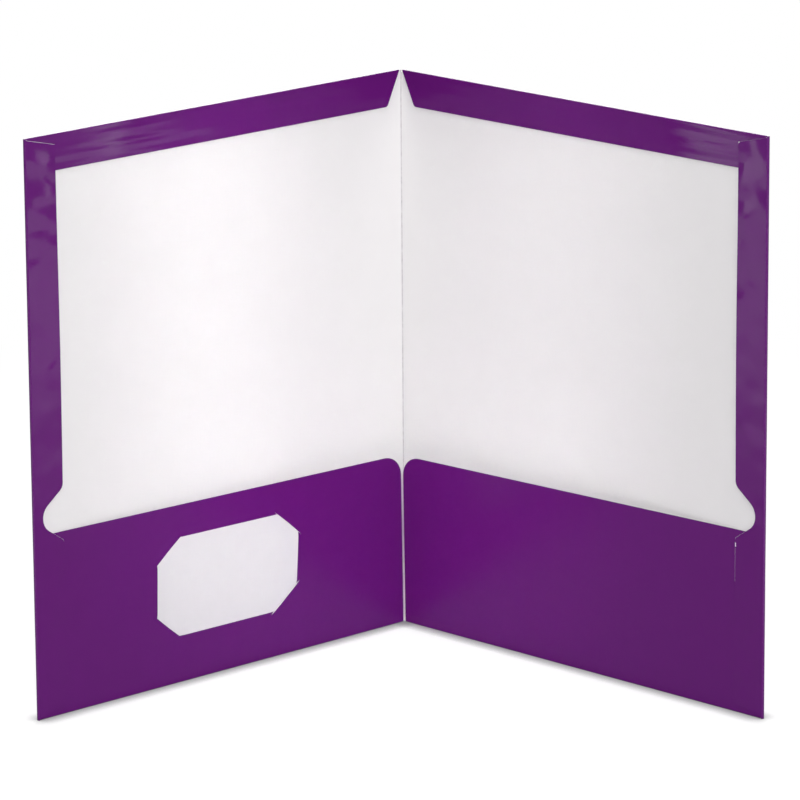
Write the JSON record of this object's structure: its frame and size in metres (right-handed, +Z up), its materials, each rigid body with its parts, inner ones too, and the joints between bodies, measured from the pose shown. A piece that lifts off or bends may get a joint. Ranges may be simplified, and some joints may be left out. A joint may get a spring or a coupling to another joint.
{
  "type": "two pocket folder",
  "caption": "Film-faced board folder that opens like a book on a creased spine, with a pocket in each cover, folded-in edge flaps and a card held in slits in the left pocket.",
  "frame": {"origin": "middle of the footprint, on the floor under the standing folder", "axes": "+Z up along the spine, +X to the right for a reader who faces the open inside, +Y away from the reader towards the spine"},
  "size_m": [0.3504, 0.1642, 0.2865],
  "materials": {
    "white_board": "uncoated white face of the board",
    "purple_laminate": "gloss film bonded to the board",
    "purple_fold": "film-faced board, creased and bent with the film outside",
    "glue": "set hot-melt glue, hidden between sheets",
    "card_stock": "smooth white card"
  },
  "bodies": {
    "left_half": {"left_cover": "white_board", "left_cover_laminate": "purple_laminate", "left_top_fold": "purple_fold", "left_top_flap": "white_board", "left_top_flap_laminate": "purple_laminate", "left_side_fold": "purple_fold", "left_side_flap": "white_board", "left_side_flap_laminate": "purple_laminate", "left_bottom_fold": "purple_fold", "left_pocket": "white_board", "left_pocket_laminate": "purple_laminate", "left_top_flap_glue": "glue", "left_corner_glue": "glue", "left_pocket_glue": "glue", "business_card": "card_stock", "spine": "white_board", "spine_laminate": "purple_laminate"},
    "right_half": {"right_cover": "white_board", "right_cover_laminate": "purple_laminate", "right_top_fold": "purple_fold", "right_top_flap": "white_board", "right_top_flap_laminate": "purple_laminate", "right_side_fold": "purple_fold", "right_side_flap": "white_board", "right_side_flap_laminate": "purple_laminate", "right_bottom_fold": "purple_fold", "right_pocket": "white_board", "right_pocket_laminate": "purple_laminate", "right_top_flap_glue": "glue", "right_corner_glue": "glue", "right_pocket_glue": "glue"}
  },
  "joints": [
    {"name": "spine_hinge", "type": "hinge", "parent": "left_half", "child": "right_half", "pos_m": [0, 0.08064, 0.14325], "axis": [0, 0, 1], "range_deg": [-93.5, 86], "deforming": ["spine", "spine_laminate"]}
  ]
}
